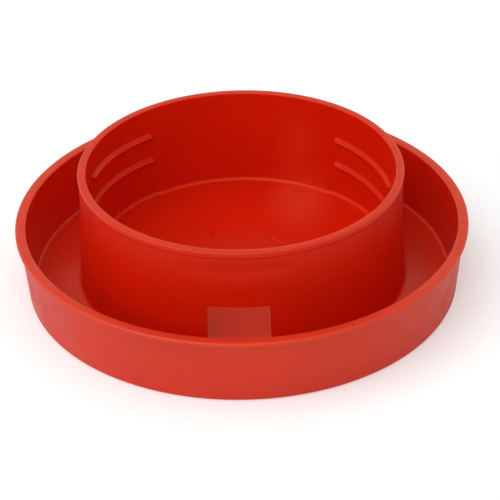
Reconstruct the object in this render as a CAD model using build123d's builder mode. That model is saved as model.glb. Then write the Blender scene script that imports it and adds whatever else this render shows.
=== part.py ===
from build123d import *
from math import radians, tan
import os

# Screw-on waterer base for quail chicks, one moulding in rigid plastic. A jar of water
# is screwed upside down into the collar. Water leaves through the window in the
# collar's wall and fills the narrow trough around it.
# Millimetres, +Z up. The origin is the centre of the foot, on the ground, and the
# window faces -Y.

# Trough
rim_radius = 52.5          # outside of the rolled lip, the widest place
rim_height = 16.4          # top of the trough's rim
lip_overhang = 0.9         # how far the lip stands out from the wall
lip_height = 1.2
lip_round = 0.5
rim_inner_round = 0.35
wall_thickness = 1.5
wall_draft = 4.8           # degrees, the trough's wall leans in towards the foot
foot_round = 0.8
trough_floor_thickness = 1.4
trough_floor_round = 0.8   # fillets where the trough's floor meets its two walls

# Jar collar
collar_height = 29.2       # top of the collar, the highest place
collar_wall = 1.45         # measured level from the mouth of the bore to just under the bead
collar_draft = 2.6         # degrees, the outside widens towards the trough's floor
bead_overhang = 0.4
bead_height = 1.6
bead_round = 0.55
bore_radius = 35.5         # inside of the collar at its mouth
bore_draft = 2.5           # degrees, the plain stretches of the bore
mouth_round = 0.35
jar_floor_height = 5.5     # upper side of the floor inside the collar
jar_floor_thickness = 1.5
jar_floor_round = 0.8

# Underside, open below the jar floor
skirt_thickness = 1.5      # ring below the collar, measured level at the trough's floor
skirt_draft = 3.0
skirt_round = 0.4
gate_radius = 3.0          # shallow dish that the gate mark sits in
gate_depth = 0.4
gate_mark_radius = 0.9
gate_mark_height = 0.25

# Three threaded stretches of the bore, one of them over the window
sector_count = 3
sector_angle = 45.0
sector_relief = 0.05       # the stretches are this much wider at the mouth
sector_draft = 1.3         # degrees, less than the plain stretches have
front_azimuth = 270.0      # middle of the stretch over the window, seen from above

# Thread, a right-handed single start cut into two rows of short rounded ribs
thread_pitch = 6.6
thread_depth = 4.7         # from the collar's top down to the upper rib over the window
rib_rows = 2
rib_angle = 41.0           # length of one rib around the bore
rib_section_radius = 0.85
rib_inset = 0.45           # from the bore at its mouth in to the centre of a rib's section

# Drinking window
window_width = 14.0
window_below_rim = 0.9     # from the trough's rim down to the window's top
window_corner = 0.4


def lean(angle, height):
    # sideways run of a wall that leans by this angle over this height
    return tan(radians(angle)) * height


wall_radius = rim_radius - lip_overhang
lip_underside = rim_height - lip_height
foot_radius = wall_radius - lean(wall_draft, lip_underside)
rim_inner_radius = wall_radius - wall_thickness
trough_floor_outer = rim_inner_radius - lean(wall_draft, rim_height - trough_floor_thickness)
bead_underside = collar_height - bead_height
collar_top_radius = bore_radius + collar_wall
bead_radius = collar_top_radius + bead_overhang
collar_foot_radius = collar_top_radius + lean(collar_draft, bead_underside - trough_floor_thickness)
bore_height = collar_height - jar_floor_height
bore_foot_radius = bore_radius - lean(bore_draft, bore_height)
hollow_height = jar_floor_height - jar_floor_thickness
hollow_radius = collar_foot_radius - skirt_thickness
hollow_top_radius = hollow_radius - lean(skirt_draft, hollow_height)

gate_height = hollow_height + gate_depth
gate_mark_underside = gate_height - gate_mark_height

# Corners of the moulding's section, from the axis on the underside round to the axis
# on the jar floor: radius, height and the rounding of that corner
section = [
    (0, gate_mark_underside, 0),
    (gate_mark_radius, gate_mark_underside, 0),
    (gate_mark_radius, gate_height, 0),
    (gate_radius, gate_height, 0),
    (gate_radius, hollow_height, 0),
    (hollow_top_radius, hollow_height, skirt_round),
    (hollow_radius, 0, skirt_round),
    (foot_radius, 0, foot_round),
    (wall_radius, lip_underside, 0),
    (rim_radius, lip_underside, lip_round),
    (rim_radius, rim_height, lip_round),
    (rim_inner_radius, rim_height, rim_inner_round),
    (trough_floor_outer, trough_floor_thickness, trough_floor_round),
    (collar_foot_radius, trough_floor_thickness, trough_floor_round),
    (collar_top_radius, bead_underside, 0),
    (bead_radius, bead_underside + bead_overhang, bead_round),
    (bead_radius, collar_height, bead_round),
    (bore_radius, collar_height, mouth_round),
    (bore_foot_radius, jar_floor_height, jar_floor_round),
    (0, jar_floor_height, 0),
]

# Section of the room that one threaded stretch adds to the bore
cut_start_radius = bore_foot_radius - 2 * jar_floor_round
sector_radius = bore_radius + sector_relief
sector_top = collar_height - mouth_round
sector_section = [
    (cut_start_radius, sector_top, 0),
    (sector_radius, sector_top, 0),
    (sector_radius - lean(sector_draft, bore_height), jar_floor_height, jar_floor_round),
    (cut_start_radius, jar_floor_height, 0),
]


def outline(corners, closed):
    # line through the section's corners, each rounded by its own radius
    points = [(radius, height) for radius, height, _ in corners]
    rounds = [corner for _, _, corner in corners]
    FilletPolyline(*points, radius=rounds if closed else rounds[1:-1], close=closed)


rib_centre_radius = bore_radius - rib_inset
rib_rise = thread_pitch * rib_angle / 360
window_top = rim_height - window_below_rim
window_height = window_top - jar_floor_height
window_reach = (collar_foot_radius + trough_floor_outer) / 2
sector_pitch = 360 / sector_count

# One rib of the thread, a round section along a short stretch of the helix with half a
# ball on each end. It starts over +X at height 0 and climbs anticlockwise.
with BuildPart() as rib:
    with BuildLine() as path:
        Helix(thread_pitch, rib_rise, rib_centre_radius)
    with BuildSketch(Plane(path.line @ 0, z_dir=path.line % 0)):
        Circle(rib_section_radius)
    sweep(path=path.line, is_frenet=True)
    with Locations(Plane(path.line @ 0, z_dir=path.line % 0), Plane(path.line @ 1, z_dir=-(path.line % 1))):
        Sphere(rib_section_radius, arc_size2=0, align=None)

# Room that one threaded stretch adds to the bore, starting over +X
with BuildPart() as stretch:
    with BuildSketch(Plane.XZ):
        with BuildLine():
            outline(sector_section, closed=True)
        make_face()
    revolve(axis=Axis.Z, revolution_arc=sector_angle)

with BuildPart() as waterer_base:
    with BuildSketch(Plane.XZ):
        with BuildLine():
            outline(section, closed=False)
            Line((0, jar_floor_height), (0, gate_mark_underside))
        make_face()
    revolve(axis=Axis.Z)

    # drinking window, level with the jar floor, cut from the bore out into the trough
    with BuildSketch(Plane.XZ.offset(cut_start_radius)):
        with Locations((0, jar_floor_height + window_height / 2)):
            RectangleRounded(window_width, window_height, window_corner)
    extrude(amount=window_reach - cut_start_radius, mode=Mode.SUBTRACT)

    # wider stretches of the bore, where the thread is
    for i in range(sector_count):
        with Locations(Rotation(0, 0, front_azimuth + sector_pitch * i - sector_angle / 2)):
            add(stretch.part, mode=Mode.SUBTRACT)

    # thread ribs: the helix climbs anticlockwise from one stretch to the next and is
    # a whole pitch higher when it is back over the window
    for i in range(1, sector_count + 1):
        start = front_azimuth + sector_pitch * i - rib_angle / 2
        for row in range(1, rib_rows + 1):
            height = collar_height - thread_depth + thread_pitch * (i / sector_count - row)
            with Locations(Location((0, 0, height - rib_rise / 2), (0, 0, start))):
                add(rib.part)

waterer_base.part.label = "waterer_base"

os.makedirs("parts", exist_ok=True)
export_step(waterer_base.part, "parts/waterer_base.step")
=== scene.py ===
import bpy
import numpy as np
from mathutils import Matrix, Vector


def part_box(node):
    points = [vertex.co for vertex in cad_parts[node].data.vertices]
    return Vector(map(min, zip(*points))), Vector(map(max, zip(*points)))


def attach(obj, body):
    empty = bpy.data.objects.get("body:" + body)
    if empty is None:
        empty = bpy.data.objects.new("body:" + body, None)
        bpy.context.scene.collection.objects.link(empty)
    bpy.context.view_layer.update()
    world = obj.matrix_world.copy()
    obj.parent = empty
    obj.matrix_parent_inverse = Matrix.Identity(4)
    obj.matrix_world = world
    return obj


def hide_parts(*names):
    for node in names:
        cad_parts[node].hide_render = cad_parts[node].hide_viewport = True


# A quail waterer base, one red plastic moulding that a jar of water is screwed into upside down.
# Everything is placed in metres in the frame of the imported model: +Z up, the drinking
# window towards -Y. The sizes of the moulding itself are millimetres.

mm = 0.001

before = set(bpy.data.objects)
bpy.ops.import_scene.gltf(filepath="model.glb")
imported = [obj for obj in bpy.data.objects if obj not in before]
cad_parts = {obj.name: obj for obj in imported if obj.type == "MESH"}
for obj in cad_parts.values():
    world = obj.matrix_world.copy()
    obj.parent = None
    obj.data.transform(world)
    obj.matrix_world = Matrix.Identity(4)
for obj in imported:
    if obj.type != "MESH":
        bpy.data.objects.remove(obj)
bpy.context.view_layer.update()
baseLow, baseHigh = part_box("waterer_base")
print("frame loaded:", ", ".join(sorted(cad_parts)))


# Trough, collar, thread and window of the moulding, in millimetres and degrees

trough = {
    "rimRadius": baseHigh.x / mm,
    "rimHeight": 16.4,
    "lipOverhang": 0.9,
    "lipHeight": 1.2,
    "lipRound": 0.5,
    "innerRound": 0.35,
    "wall": 1.5,
    "draft": 4.8,
    "footRound": 0.8,
    "floorHeight": 1.4,
    "floorRound": 0.8,
}
collar = {
    "height": baseHigh.z / mm,
    "boreRadius": 35.5,
    "boreDraft": 2.5,
    "wall": 1.45,
    "draft": 2.6,
    "beadOverhang": 0.4,
    "beadHeight": 1.6,
    "beadRound": 0.28,
    "flare": 0.28,
    "flareHeight": 8.0,
    "mouthRound": 0.22,
    "floorHeight": 5.5,
    "floorRound": 0.8,
    "floorThickness": 1.5,
    "sinkDepth": 0.09,
    "sinkWidth": 1.3,
}
underside = {
    "skirt": 1.5,
    "draft": 3.0,
    "round": 0.4,
    "gateRadius": 3.0,
    "gateDepth": 0.4,
    "markRadius": 0.9,
    "markHeight": 0.25,
}
thread = {
    "stretches": 3,
    "stretchAngle": 45.0,
    "stretchDraft": 1.3,
    "relief": 0.05,
    "edgeBlend": 2.4,
    "frontAzimuth": 270.0,
    "pitch": 6.6,
    "depth": 4.7,
    "ribAngle": 39.8,
    "ribHalfWidth": 0.95,
    "ribHeight": 0.95,
}
window = {
    "width": 14.0,
    "belowRim": 0.9,
    "corner": 0.4,
    "fadeAngle": 20.0,
}
marks = {
    "grooveRadius": 9.5,
    "grooveWidth": 0.3,
    "grooveDepth": 0.4,
    "grooveAzimuths": (24.0, 43.0),
    "tickFrom": (-7.4, 9.8),
    "tickTo": (-7.2, 6.4),
    "tickWidth": 0.25,
    "tickHeight": 0.3,
    "speckAt": (-9.0, 25.3),
    "speckWidth": 0.4,
    "speckHeight": 0.35,
}
fineness = {
    "columnStep": 0.9,
    "ribEndStep": 0.3,
    "ribEndFrom": 18.4,
    "ribEndTo": 22.0,
    "roundSteps": 5,
    "sharpAngle": 40.0,
}


def lean(angle, height):
    # sideways run of a wall that leans by this angle over this height
    return np.tan(np.radians(angle)) * height


def rounded(corners, steps=fineness["roundSteps"]):
    # Each corner (radius, height, rounding) with a rounding becomes an arc that is tangent
    # to its two sides: centre = corner + rounding / sin(half angle) along the bisector. The
    # second result is 1 inside an arc and 0 everywhere else.
    points = np.array([corner[:2] for corner in corners], float)
    path, edge = [], []
    for i, (corner, rounding) in enumerate(zip(points, [c[2] for c in corners])):
        if not rounding:
            path.append(corner[None])
            edge.append(0.0)
            continue
        back = (points[i - 1] - corner) / np.linalg.norm(points[i - 1] - corner)
        ahead = (points[i + 1] - corner) / np.linalg.norm(points[i + 1] - corner)
        half = np.arccos(back @ ahead) / 2
        centre = corner + (back + ahead) / np.linalg.norm(back + ahead) * rounding / np.sin(half)
        first = corner + back * rounding / np.tan(half) - centre
        last = corner + ahead * rounding / np.tan(half) - centre
        turn = np.pi - 2 * half
        t = np.linspace(0, 1, steps + 1)[:, None]
        path.append(centre + (np.sin((1 - t) * turn) * first + np.sin(t * turn) * last) / np.sin(turn))
        edge += [0.0, *[1.0] * (steps - 1), 0.0]
    return np.vstack(path), np.array(edge)


# Sizes that follow from the ones above

wallRadius = trough["rimRadius"] - trough["lipOverhang"]
lipUnderside = trough["rimHeight"] - trough["lipHeight"]
footRadius = wallRadius - lean(trough["draft"], lipUnderside)
rimInnerRadius = wallRadius - trough["wall"]
troughFloorOuter = rimInnerRadius - lean(trough["draft"], trough["rimHeight"] - trough["floorHeight"])
beadUnderside = collar["height"] - collar["beadHeight"]
collarTopRadius = collar["boreRadius"] + collar["wall"]
beadRadius = collarTopRadius + collar["beadOverhang"]
collarFootRadius = collarTopRadius + lean(collar["draft"], beadUnderside - trough["floorHeight"])
boreDepth = collar["height"] - collar["floorHeight"]
hollowHeight = collar["floorHeight"] - collar["floorThickness"]
hollowRadius = collarFootRadius - underside["skirt"]
hollowTopRadius = hollowRadius - lean(underside["draft"], hollowHeight)
gateHeight = hollowHeight + underside["gateDepth"]
windowTop = trough["rimHeight"] - window["belowRim"]
windowDepth = collar["height"] - windowTop
windowHalf = window["width"] / 2
windowEdge = np.degrees(np.arcsin(windowHalf / (collarTopRadius - collar["wall"] / 2)))
stretchPitch = 360 / thread["stretches"]
halfStretch = thread["stretchAngle"] / 2


def stretchOf(azimuth):
    # number of the nearest threaded stretch, 0 over the window, and the angle from its middle
    turned = (azimuth - thread["frontAzimuth"] + stretchPitch / 2) % 360
    return turned // stretchPitch, turned % stretchPitch - stretchPitch / 2


def stretchShare(off):
    # 1 in a threaded stretch and 0 beside it, with a smooth step 3t^2 - 2t^3 across its edge
    t = ((halfStretch - np.abs(off)) / thread["edgeBlend"] + 0.5).clip(0, 1)
    return t * t * (3 - 2 * t)


def upperRibDepth(number):
    # depth of a stretch's upper rib below the collar's top: the thread climbs anticlockwise
    # by a share of its pitch from one stretch to the next
    share = (thread["stretches"] - number) % thread["stretches"] / thread["stretches"]
    return thread["depth"] + thread["pitch"] * share


def boreRadiusAt(azimuth, depth):
    # The plain bore leans in with depth. A threaded stretch leans less. A rib's section is a
    # soft bell about its centre line: height * (1 - (distance / half width)^2)^2.
    number, off = stretchOf(azimuth)
    plain = collar["boreRadius"] - lean(collar["boreDraft"], depth)
    wide = collar["boreRadius"] + thread["relief"] - lean(thread["stretchDraft"], depth)
    wall = plain + (wide - plain) * stretchShare(off)
    beyond = np.radians(np.abs(off) - thread["ribAngle"] / 2).clip(0) * collar["boreRadius"]
    standing = np.zeros_like(wall)
    for row in (0, 1):
        centre = upperRibDepth(number) + thread["pitch"] * (row - off / 360)
        share = np.hypot(depth - centre, beyond) / thread["ribHalfWidth"]
        standing = np.maximum(standing, thread["ribHeight"] * (1 - share ** 2).clip(0) ** 2)
    return wall - standing


def columnAzimuths():
    # even steps round the axis, with closer columns at the ends of the ribs and single ones
    # on the edges of the window and of the threaded stretches
    even = np.arange(0, 360, fineness["columnStep"])
    middles = thread["frontAzimuth"] + stretchPitch * np.arange(thread["stretches"])
    close = np.arange(fineness["ribEndFrom"], fineness["ribEndTo"], fineness["ribEndStep"])
    seams = [side * halfStretch + shift for side in (-1, 1) for shift in
             (-1.2, -0.6, 0, 0.6, 1.2)]
    cornerShare = 1 - window["corner"] / windowHalf
    sides = thread["frontAzimuth"] + windowEdge * np.array([-1, -cornerShare, cornerShare, 1])
    special = np.concatenate([
        (middles[:, None] + np.concatenate([-close, close, seams])).ravel(),
        sides,
    ]) % 360
    gap = np.abs((even[:, None] - special + 180) % 360 - 180).min(1)
    return np.sort(np.concatenate([even[gap > fineness["ribEndStep"] / 2], special]))


def squared(azimuth, radius):
    # Columns near the window shift with the radius, so that its sides are flat planes: the
    # edge column stays half a window's width from the middle, asin(half width / radius).
    off = azimuth - thread["frontAzimuth"]
    edge = np.degrees(np.arcsin(windowHalf / radius))
    inside = off * edge / windowEdge
    share = ((window["fadeAngle"] - np.abs(off)) / (window["fadeAngle"] - windowEdge)).clip(0, 1)
    outside = off + np.sign(off) * (edge - windowEdge) * share
    return thread["frontAzimuth"] + np.where(np.abs(off) <= windowEdge + 1e-6, inside, outside)


class Rings:
    # The moulding's skin as rings round the axis, from the underside's middle round to the
    # jar floor's middle, with a place in the list for each row that something starts at
    def __init__(self, azimuth):
        self.azimuth = azimuth
        self.rows = []
        self.count = 0

    def add(self, radius, height, edge=0.0, besideWindow=False):
        radius, height = np.atleast_2d(radius), np.atleast_2d(height)
        shape = (max(len(radius), len(height)), len(self.azimuth))
        radius = np.broadcast_to(radius, shape)
        azimuth = np.broadcast_to(self.azimuth, shape)
        if besideWindow:
            azimuth = squared(azimuth, radius)
        wear = np.broadcast_to(np.reshape(edge, (-1, 1)), shape)
        self.rows.append((radius, np.broadcast_to(height, shape), azimuth, wear))
        self.count += shape[0]
        return self.count - 1

    def turned(self, corners, besideWindow=False):
        path, edge = rounded(corners)
        path, edge = path[1:-1], edge[1:-1]
        return self.add(path[:, :1], path[:, 1:], edge, besideWindow)

    def stacked(self):
        return [np.vstack(part) for part in zip(*self.rows)]


def sinkAt(azimuth, height):
    # shallow dents on the outside of the collar where the ribs behind it drew the wall in:
    # depth * exp(-(distance from the rib's line / width)^2), faded out at the ribs' ends
    number, off = stretchOf(azimuth)
    depth = collar["height"] - height
    fade = ((thread["ribAngle"] / 2 + 2 - np.abs(off)) / 8).clip(0, 1)
    dent = np.zeros(np.broadcast(azimuth, height).shape)
    for row in (0, 1):
        centre = upperRibDepth(number) + thread["pitch"] * (row - off / 360)
        dent = dent + np.exp(-((depth - centre) / collar["sinkWidth"]) ** 2)
    return collar["sinkDepth"] * dent * fade * fade * (3 - 2 * fade)


def bump(distance, width, height):
    # height * exp(-(distance / width)^2)
    return height * np.exp(-(distance / width) ** 2)


def floorRelief(azimuth, radius):
    # Flaws of the jar floor: an arc of a groove round the middle, a short raised tick and a
    # speck. Each is a bump of the distance to an arc, to a line between two points or to a point.
    place = np.stack([radius * np.cos(np.radians(azimuth)), radius * np.sin(np.radians(azimuth))], -1)
    first, last = marks["grooveAzimuths"]
    past = np.maximum(first - azimuth, azimuth - last).clip(0)
    groove = bump(np.hypot(radius - marks["grooveRadius"], np.radians(past) * radius),
                  marks["grooveWidth"], marks["grooveDepth"])
    start, line = np.array(marks["tickFrom"]), np.subtract(marks["tickTo"], marks["tickFrom"])
    along = ((place - start) @ line / (line @ line)).clip(0, 1)[..., None]
    tick = bump(np.linalg.norm(place - start - along * line, axis=-1), marks["tickWidth"], marks["tickHeight"])
    speck = bump(np.linalg.norm(place - marks["speckAt"], axis=-1), marks["speckWidth"], marks["speckHeight"])
    return tick + speck - groove


def makeMoulding(materials):
    azimuth = columnAzimuths()
    rings = Rings(azimuth)
    columns = len(azimuth)

    # underside and foot, then the outer wall, lip, trough and the foot of the collar; the first
    # and the last corner of a list only give the direction and aren't added
    markUnderside = gateHeight - underside["markHeight"]
    rings.turned([
        (0, markUnderside, 0),
        (underside["markRadius"], markUnderside, 0),
        (underside["markRadius"], gateHeight, 0),
        (underside["gateRadius"], gateHeight, 0),
        (underside["gateRadius"], hollowHeight, 0),
        (hollowTopRadius / 2, hollowHeight, 0),
        (hollowTopRadius, hollowHeight, underside["round"]),
        (hollowRadius, 0, underside["round"]),
        (footRadius, 0, trough["footRound"]),
        (wallRadius, lipUnderside, 0),
    ])
    wallRow = rings.count
    rings.turned([
        (footRadius, 0, 0),
        (footRadius + lean(trough["draft"], lipUnderside / 2), lipUnderside / 2, 0),
        (wallRadius, lipUnderside, 0),
        (trough["rimRadius"], lipUnderside, trough["lipRound"]),
        (trough["rimRadius"], trough["rimHeight"], trough["lipRound"]),
        (rimInnerRadius, trough["rimHeight"], trough["innerRound"]),
        (troughFloorOuter, trough["floorHeight"], 0),
    ])
    troughRow = rings.count
    rings.turned([
        (rimInnerRadius, trough["rimHeight"], 0),
        (troughFloorOuter, trough["floorHeight"], trough["floorRound"]),
        (collarFootRadius, trough["floorHeight"], trough["floorRound"]),
        (collarTopRadius, beadUnderside, 0),
    ])

    # outside of the collar, with the window's sill, corner and top rows
    heights = np.concatenate([
        [collar["floorHeight"]],
        np.linspace(collar["floorHeight"] + 2, windowTop - 2.2, 4),
        [windowTop - window["corner"], windowTop],
        np.linspace(windowTop + 0.9, beadUnderside - 0.5, 14),
    ])[:, None]
    wall = collarTopRadius + lean(collar["draft"], beadUnderside - heights)
    wall = wall + collar["flare"] * (1 - (beadUnderside - heights) / collar["flareHeight"]).clip(0) ** 2
    sillRow = rings.count
    rings.add(wall - sinkAt(azimuth, heights), heights, besideWindow=True)
    topRow = sillRow + 6

    # bead and mouth
    flaredRadius = collarTopRadius + collar["flare"]
    rings.turned([
        (flaredRadius, beadUnderside - 1, 0),
        (flaredRadius, beadUnderside, collar["beadRound"]),
        (beadRadius, beadUnderside + collar["beadOverhang"], collar["beadRound"]),
        (beadRadius, collar["height"], collar["beadRound"]),
        (collar["boreRadius"], collar["height"], collar["mouthRound"]),
        (collar["boreRadius"] - lean(collar["boreDraft"], boreDepth), collar["floorHeight"], 0),
    ])

    # bore: the rows follow the two ribs of each stretch and slant between the stretches
    wellRow = rings.count
    mouthEnd = collar["mouthRound"] * 1.1
    numbers = np.arange(thread["stretches"])
    middles = thread["frontAzimuth"] + stretchPitch * numbers
    knots = np.concatenate([middles - halfStretch, middles + halfStretch]) % 360
    climb = thread["pitch"] * halfStretch / 360
    upper = upperRibDepth(numbers)
    ribLine = np.interp(azimuth, knots, np.concatenate([upper + climb, upper - climb]), period=360)
    below = windowDepth - thread["depth"] - thread["pitch"]
    low = np.tile(upper + thread["pitch"] + below, 2)
    lowLine = np.interp(azimuth, knots, low, period=360)
    across = np.array([1.2, 1.0, 0.86, 0.72, 0.56, 0.38, 0.19])
    across = np.concatenate([-across, [0], across[::-1]])[:, None]
    reach = across[-1, 0]
    floorStart = boreDepth - collar["floorRound"]
    down = np.linspace(0, 1, 5)[:-1, None]
    between = np.linspace(0, 1, 8)[1:-1, None]
    last = np.linspace(0, 1, 6)[1:, None]
    depths = np.vstack([
        mouthEnd + (ribLine - reach - mouthEnd) * down,
        ribLine + across,
        ribLine + reach + (thread["pitch"] - 2 * reach) * between,
        ribLine + thread["pitch"] + across,
        lowLine[None],
        lowLine[None] + window["corner"],
        lowLine + window["corner"] + (floorStart - lowLine - window["corner"]) * last,
    ])
    lintelRow = rings.count + 4 + 2 * len(across) + len(between)
    radii = boreRadiusAt(azimuth, depths)
    shifted = squared(np.broadcast_to(azimuth, depths.shape), radii)
    rings.add(boreRadiusAt(shifted, depths), collar["height"] - depths, besideWindow=True)

    # fillet between the bore and the jar floor, tangent to both
    share = stretchShare(stretchOf(azimuth)[1])
    draft = np.radians(collar["boreDraft"] + (thread["stretchDraft"] - collar["boreDraft"]) * share)
    footOfWall = boreRadiusAt(azimuth, np.full(columns, boreDepth))
    r = collar["floorRound"]
    centre = footOfWall + r * np.tan(draft) - r / np.cos(draft)
    swing = np.linspace(0, 1, fineness["roundSteps"] + 2)[1:, None]
    angle = -draft + (draft - np.pi / 2) * swing
    edge = np.append(np.ones(len(swing) - 1), 0)
    filletEnd = rings.add(centre + r * np.cos(angle), collar["floorHeight"] + r + r * np.sin(angle),
                          edge, besideWindow=True)

    # jar floor, with closer rings where its small flaws are
    speckRadius = np.hypot(*marks["speckAt"])
    floorRadii = np.concatenate([
        [32.5, 30],
        speckRadius + np.array([0.8, 0.4, 0.2, 0, -0.2, -0.4, -0.8]),
        [22, 17.5],
        np.arange(13.6, 8.4, -0.17),
        [6, 3],
    ])[:, None]
    rings.add(floorRadii, collar["floorHeight"] + floorRelief(azimuth, floorRadii))

    radius, height, turned, wear = rings.stacked()
    angle = np.radians(turned)
    points = np.stack([radius * np.cos(angle), radius * np.sin(angle), height], -1)

    # window columns and the round in its two upper corners
    edgeAzimuth = thread["frontAzimuth"] + np.array([-windowEdge, windowEdge])
    first, final = (int(np.abs(azimuth - a).argmin()) for a in edgeAzimuth)
    nudge = window["corner"] * (1 - np.sqrt(0.5))
    for row in (topRow, lintelRow):
        for column, side in ((first, 1), (final, -1)):
            points[row, column] += (side * nudge, 0, -nudge)

    rows = len(points)
    at = np.arange(rows * columns).reshape(rows, columns)
    ahead = np.roll(at, -1, 1)
    quads = np.stack([at[:-1], ahead[:-1], ahead[1:], at[1:]], -1)
    keep = np.ones((rows - 1, columns), bool)
    keep[sillRow:topRow, first:final] = False
    keep[lintelRow:filletEnd, first:final] = False
    strip = slice(first, final)
    sill = np.stack([at[sillRow, strip], ahead[sillRow, strip], ahead[filletEnd, strip],
                     at[filletEnd, strip]], -1)
    lintel = np.stack([at[lintelRow, strip], ahead[lintelRow, strip], ahead[topRow, strip],
                       at[topRow, strip]], -1)
    jambs = [
        [*at[sillRow:topRow + 1, first][::-1], *at[lintelRow:filletEnd + 1, first][::-1]],
        [*at[sillRow:topRow + 1, final], *at[lintelRow:filletEnd + 1, final]],
    ]
    under, over = rows * columns, rows * columns + 1
    caps = [np.stack([np.full(columns, under), ahead[0], at[0]], -1),
            np.stack([np.full(columns, over), at[-1], ahead[-1]], -1)]
    poles = [(0, 0, markUnderside), (0, 0, collar["floorHeight"])]
    corners = np.vstack([points.reshape(-1, 3), poles]) * mm
    faces = [face.tolist() for face in (quads[keep], *caps, sill, lintel)]
    faces = [corner for group in faces for corner in group] + [[int(v) for v in jamb] for jamb in jambs]

    # finish of each face: 0 trough, collar and round the window, 1 outer wall and lip,
    # 2 underside, 3 jar well
    finishOfRow = np.zeros(rows - 1, int)
    finishOfRow[:troughRow - 1] = 1
    finishOfRow[:wallRow - 1] = 2
    finishOfRow[wellRow - 1:] = 3
    finishes = np.zeros(len(faces), int)
    walls = keep.sum()
    finishes[:walls] = finishOfRow[np.nonzero(keep)[0]]
    finishes[walls:walls + columns] = 2
    finishes[walls + columns:walls + 2 * columns] = 3

    mesh = bpy.data.meshes.new("waterer_base_skin")
    mesh.from_pydata(corners.tolist(), [], faces)
    for material in materials:
        mesh.materials.append(material)
    mesh.polygons.foreach_set("material_index", finishes)
    mesh.validate()
    mesh.shade_smooth()
    mesh.set_sharp_from_angle(angle=np.radians(fineness["sharpAngle"]))
    edges = mesh.attributes.new("rounds", "FLOAT", "POINT")
    edges.data.foreach_set("value", np.append(wear.ravel(), (0, 0)).astype(np.float32))
    piece = bpy.data.objects.new("waterer_base_skin", mesh)
    bpy.context.scene.collection.objects.link(piece)
    print("moulding:", len(mesh.vertices), "points,", len(mesh.polygons), "faces")
    return piece


# Finish of the red moulding: satin on the trough and collar, frosted on the outer wall,
# smoother in the jar well with patches of painted glare, and matt underneath

finish = {
    "colour": (0.665, 0.0115, 0.0006),
    "wornColour": (0.84, 0.055, 0.02),
    # paler red: mixed into the frosted and matt finishes, and the colour of the painted glare in the jar well
    "frostAndPaintedGlareColour": (0.70, 0.036, 0.014),
    "sheen": (1.0, 0.93, 0.6),
    "ior": 1.49,
    "satin": {"Roughness": 0.34, "Gloss Change": 0.05, "Grain Size": 0.35, "grainHeight": 0.004,
              "mirror": 0.34, "frost": 0.0},
    "frosted": {"Roughness": 0.42, "Gloss Change": 0.06, "Grain Size": 0.3, "grainHeight": 0.006,
                "mirror": 0.55, "frost": 0.3},
    "matt": {"Roughness": 0.5, "Gloss Change": 0.04, "Grain Size": 0.5, "grainHeight": 0.012,
             "mirror": 0.4, "frost": 0.1},
    "smooth": {"Roughness": 0.32, "Gloss Change": 0.04, "Grain Size": 0.35, "grainHeight": 0.003,
               "mirror": 0.22, "frost": 0.0},
    # painted glare: two soft patches of paler colour on the jar floor and on the back of the bore, where light
    # reflects off the plastic
    "paintedGlarePatches": [
        {"Centre": (13.5, 24.0, 5.5), "Spread": (11.0, 19.0, 9.0), "strength": 0.9},
        {"Centre": (13.0, 33.0, 17.0), "Spread": (8.0, 9.0, 13.0), "strength": 0.4},
    ],
}


def socket(group, name, kind, inOut, value=None):
    made = group.interface.new_socket(name=name, in_out=inOut, socket_type="NodeSocket" + kind)
    if value is not None:
        made.default_value = value


def mathNode(nodes, links, operation, *values):
    # one Math node whose inputs are numbers or outputs of other nodes
    node = nodes.new("ShaderNodeMath")
    node.operation = operation
    for entry, value in zip(node.inputs, values):
        if isinstance(value, (int, float)):
            entry.default_value = value
        else:
            links.new(value, entry)
    return node.outputs[0]


def makeGrainGroup():
    # Fine grain of the mould's steel, cloudy patches of colour and of gloss. Sizes are in
    # millimetres: texture scale = 1 / (size * 0.001).
    group = bpy.data.node_groups.new("mouldGrain", "ShaderNodeTree")
    socket(group, "Grain Size", "Float", "INPUT", 0.35)
    socket(group, "Patch Size", "Float", "INPUT", 14.0)
    socket(group, "Gloss Change", "Float", "INPUT", 0.05)
    socket(group, "Roughness", "Float", "INPUT", 0.34)
    socket(group, "Roughness", "Float", "OUTPUT")
    socket(group, "Height", "Float", "OUTPUT")
    socket(group, "Patches", "Float", "OUTPUT")
    nodes, links = group.nodes, group.links
    given, put = nodes.new("NodeGroupInput"), nodes.new("NodeGroupOutput")
    place = nodes.new("ShaderNodeTexCoord")
    grainScale = mathNode(nodes, links, "DIVIDE", 1 / mm, given.outputs["Grain Size"])
    patchScale = mathNode(nodes, links, "DIVIDE", 1 / mm, given.outputs["Patch Size"])
    glossScale = mathNode(nodes, links, "MULTIPLY", patchScale, 2.7)
    textures = []
    for scale, detail in ((grainScale, 2), (patchScale, 3), (glossScale, 5)):
        texture = nodes.new("ShaderNodeTexNoise")
        texture.inputs["Detail"].default_value = detail
        links.new(scale, texture.inputs["Scale"])
        links.new(place.outputs["Object"], texture.inputs["Vector"])
        textures.append(texture.outputs["Fac"])
    grain, patches, gloss = textures
    swing = mathNode(nodes, links, "MULTIPLY_ADD", gloss, 5.0, -2.5)
    change = mathNode(nodes, links, "MULTIPLY_ADD", swing, given.outputs["Gloss Change"], given.outputs["Roughness"])
    links.new(change, put.inputs["Roughness"])
    links.new(grain, put.inputs["Height"])
    links.new(patches, put.inputs["Patches"])
    return group


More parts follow.
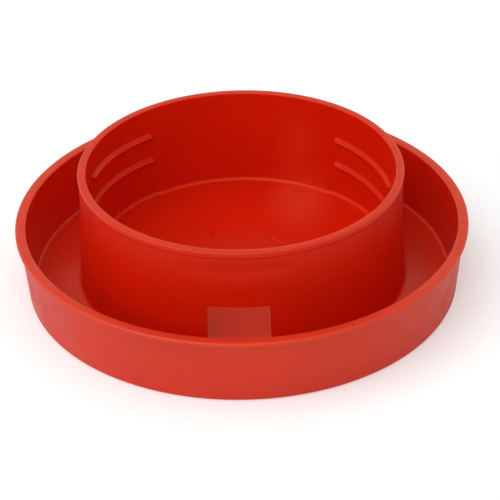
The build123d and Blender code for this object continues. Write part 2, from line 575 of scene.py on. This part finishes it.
def makePaintedGlareGroup():
    # A soft patch of painted glare: mask = 1 - length((place - centre) / spread), smoothed, in millimetres
    group = bpy.data.node_groups.new("paintedGlarePatch", "ShaderNodeTree")
    socket(group, "Centre", "Vector", "INPUT")
    socket(group, "Spread", "Vector", "INPUT")
    socket(group, "Mask", "Float", "OUTPUT")
    nodes, links = group.nodes, group.links
    given, put = nodes.new("NodeGroupInput"), nodes.new("NodeGroupOutput")
    place = nodes.new("ShaderNodeTexCoord")
    sized, away, share, length = (nodes.new("ShaderNodeVectorMath") for _ in range(4))
    sized.operation, away.operation, share.operation, length.operation = "SCALE", "SUBTRACT", "DIVIDE", "LENGTH"
    sized.inputs["Scale"].default_value = 1 / mm
    links.new(place.outputs["Object"], sized.inputs[0])
    links.new(sized.outputs[0], away.inputs[0])
    links.new(given.outputs["Centre"], away.inputs[1])
    links.new(away.outputs[0], share.inputs[0])
    links.new(given.outputs["Spread"], share.inputs[1])
    links.new(share.outputs[0], length.inputs[0])
    fade = nodes.new("ShaderNodeMapRange")
    fade.interpolation_type = "SMOOTHSTEP"
    fade.inputs["To Min"].default_value = 1
    fade.inputs["To Max"].default_value = 0
    links.new(length.outputs["Value"], fade.inputs["Value"])
    links.new(fade.outputs[0], put.inputs["Mask"])
    return group


def mixed(nodes, links, share, first, second):
    # colour between two colours; each is a value or an output of another node
    mix = nodes.new("ShaderNodeMix")
    mix.data_type = "RGBA"
    links.new(share, mix.inputs["Factor"])
    for entry, value in ((mix.inputs[6], first), (mix.inputs[7], second)):
        if isinstance(value, tuple):
            entry.default_value = (*value, 1)
        else:
            links.new(value, entry)
    return mix.outputs[2]


def makePlastic(name, given, grain, glareTree, patches=()):
    material = bpy.data.materials.new(name)
    material.use_nodes = True
    nodes, links = material.node_tree.nodes, material.node_tree.links
    shader = nodes["Principled BSDF"]
    shader.inputs["IOR"].default_value = finish["ior"]
    shader.inputs["Specular Tint"].default_value = (*finish["sheen"], 1)
    shader.inputs["Specular IOR Level"].default_value = given["mirror"]
    surface = nodes.new("ShaderNodeGroup")
    surface.node_tree = grain
    for entry in ("Roughness", "Gloss Change", "Grain Size"):
        surface.inputs[entry].default_value = given[entry]
    plain = tuple(a + (b - a) * given["frost"] for a, b in zip(finish["colour"], finish["frostAndPaintedGlareColour"]))
    darker, lighter = (tuple(c * share for c in plain) for share in (0.9, 1.1))
    colour = mixed(nodes, links, surface.outputs["Patches"], darker, lighter)
    rounds = nodes.new("ShaderNodeAttribute")
    rounds.attribute_name = "rounds"
    worn = mathNode(nodes, links, "MULTIPLY", rounds.outputs["Fac"], 0.35)
    colour = mixed(nodes, links, worn, colour, finish["wornColour"])
    # painted glare: each patch mixes the paler colour into the base colour where light reflects in the jar well
    for patch in patches:
        paintedGlare = nodes.new("ShaderNodeGroup")
        paintedGlare.node_tree = glareTree
        paintedGlare.inputs["Centre"].default_value = patch["Centre"]
        paintedGlare.inputs["Spread"].default_value = patch["Spread"]
        share = mathNode(nodes, links, "MULTIPLY", paintedGlare.outputs["Mask"], patch["strength"])
        colour = mixed(nodes, links, share, colour, finish["frostAndPaintedGlareColour"])
    bump = nodes.new("ShaderNodeBump")
    bump.inputs["Strength"].default_value = 1
    bump.inputs["Distance"].default_value = given["grainHeight"] * mm
    links.new(colour, shader.inputs["Base Color"])
    links.new(surface.outputs["Roughness"], shader.inputs["Roughness"])
    links.new(surface.outputs["Height"], bump.inputs["Height"])
    links.new(bump.outputs["Normal"], shader.inputs["Normal"])
    return material


grainGroup = makeGrainGroup()
paintedGlareGroup = makePaintedGlareGroup()
skin = makeMoulding([
    makePlastic("redSatin", finish["satin"], grainGroup, paintedGlareGroup),
    makePlastic("redFrosted", finish["frosted"], grainGroup, paintedGlareGroup),
    makePlastic("redMatt", finish["matt"], grainGroup, paintedGlareGroup),
    # the jar well's finish carries the painted glare patches
    makePlastic("redSmooth", finish["smooth"], grainGroup, paintedGlareGroup, finish["paintedGlarePatches"]),
])
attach(skin, "root")
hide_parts("waterer_base")
print("finish laid on")


# Floor, light and camera

studio = {
    "floorSize": 6.0,
    "floorColour": (0.835, 0.86, 0.86),
    "floorLift": 0.25,
    "farLift": 0.6,
    "skyForObject": 0.64,
    "skyMirrored": (1.0, 1.0, 0.76),
    "skyMirroredLow": 0.95,
    "skyMirroredHigh": 0.2,
    "keyPlace": (-0.5, -0.5, 0.95),
    "keySize": 1.5,
    "keyPower": 9.0,
}
camera = {
    "lens": 135.0,
    "sensor": 36.0,
    "distance": 0.4413,
    "aimRight": 0.00178,
    "aimHeight": 0.00631,
    "azimuth": 1.35,
    "elevation": 32.52,
    "roll": -1.058,
}


def makeFloor():
    half = studio["floorSize"] / 2
    mesh = bpy.data.meshes.new("studio_floor")
    mesh.from_pydata([(-half, -half, 0), (half, -half, 0), (half, half, 0), (-half, half, 0)], [], [(0, 1, 2, 3)])
    floor = bpy.data.objects.new("studio_floor", mesh)
    bpy.context.scene.collection.objects.link(floor)
    material = bpy.data.materials.new("paleFloor")
    material.use_nodes = True
    nodes, links = material.node_tree.nodes, material.node_tree.links
    shader = nodes["Principled BSDF"]
    shader.inputs["Base Color"].default_value = (*studio["floorColour"], 1)
    shader.inputs["Roughness"].default_value = 0.9
    shader.inputs["Specular IOR Level"].default_value = 0.1
    shader.inputs["Emission Color"].default_value = (1, 1, 1, 1)
    place, away, lift = nodes.new("ShaderNodeTexCoord"), nodes.new("ShaderNodeVectorMath"), nodes.new("ShaderNodeMapRange")
    path, seen = nodes.new("ShaderNodeLightPath"), nodes.new("ShaderNodeMath")
    away.operation = "LENGTH"
    lift.inputs["From Min"].default_value = 0.1
    lift.inputs["From Max"].default_value = 0.6
    lift.inputs["To Min"].default_value = studio["floorLift"]
    lift.inputs["To Max"].default_value = studio["farLift"]
    links.new(place.outputs["Object"], away.inputs[0])
    links.new(away.outputs["Value"], lift.inputs["Value"])
    seen.operation = "MULTIPLY"
    links.new(path.outputs["Is Camera Ray"], seen.inputs[0])
    links.new(lift.outputs[0], seen.inputs[1])
    links.new(seen.outputs[0], shader.inputs["Emission Strength"])
    mesh.materials.append(material)
    return floor


def makeLight():
    world = bpy.data.worlds.new("studio_sky")
    bpy.context.scene.world = world
    world.use_nodes = True
    nodes, links = world.node_tree.nodes, world.node_tree.links
    sky = nodes["Background"]
    # strength: 1 for the camera, a bright horizon and a darker top for reflections, and one
    # level for the light that falls on the moulding
    path, place = nodes.new("ShaderNodeLightPath"), nodes.new("ShaderNodeTexCoord")
    upward, mirrored, lit, level = (nodes.new("ShaderNode" + kind) for kind in
                                    ("SeparateXYZ", "MapRange", "Mix", "Mix"))
    links.new(place.outputs["Generated"], upward.inputs[0])
    mirrored.interpolation_type = "SMOOTHSTEP"
    mirrored.inputs["From Min"].default_value = 0.5
    mirrored.inputs["From Max"].default_value = 0.85
    mirrored.inputs["To Min"].default_value = studio["skyMirroredLow"]
    mirrored.inputs["To Max"].default_value = studio["skyMirroredHigh"]
    links.new(upward.outputs["Z"], mirrored.inputs["Value"])
    tint = mixed(nodes, links, path.outputs["Is Glossy Ray"], (1.0, 1.0, 1.0), studio["skyMirrored"])
    links.new(tint, sky.inputs["Color"])
    links.new(path.outputs["Is Glossy Ray"], lit.inputs["Factor"])
    lit.inputs["A"].default_value = studio["skyForObject"]
    links.new(mirrored.outputs[0], lit.inputs["B"])
    links.new(path.outputs["Is Camera Ray"], level.inputs["Factor"])
    links.new(lit.outputs["Result"], level.inputs["A"])
    level.inputs["B"].default_value = 1.0
    links.new(level.outputs["Result"], sky.inputs["Strength"])
    lamp = bpy.data.lights.new("key_softbox", "AREA")
    lamp.shape = "SQUARE"
    lamp.size = studio["keySize"]
    lamp.energy = studio["keyPower"]
    key = bpy.data.objects.new("key_softbox", lamp)
    key.location = studio["keyPlace"]
    key.rotation_euler = Vector(studio["keyPlace"]).to_track_quat("Z", "Y").to_euler()
    bpy.context.scene.collection.objects.link(key)


def makeCamera():
    azimuth, elevation, roll = (np.radians(camera[k]) for k in ("azimuth", "elevation", "roll"))
    back = Vector((np.sin(azimuth) * np.cos(elevation), -np.cos(azimuth) * np.cos(elevation), np.sin(elevation)))
    right = Vector((np.cos(azimuth), np.sin(azimuth), 0))
    up = back.cross(right)
    data = bpy.data.cameras.new("photo_camera")
    data.lens = camera["lens"]
    data.sensor_width = camera["sensor"]
    view = bpy.data.objects.new("photo_camera", data)
    bpy.context.scene.collection.objects.link(view)
    aim = right * camera["aimRight"] + Vector((0, 0, camera["aimHeight"]))
    turn = Matrix((right, up, back)).transposed() @ Matrix.Rotation(roll, 3, "Z")
    view.matrix_world = Matrix.Translation(aim + back * camera["distance"]) @ turn.to_4x4()
    bpy.context.scene.camera = view


makeFloor()
makeLight()
makeCamera()
bpy.context.scene.view_settings.view_transform = "Standard"
print("studio set")
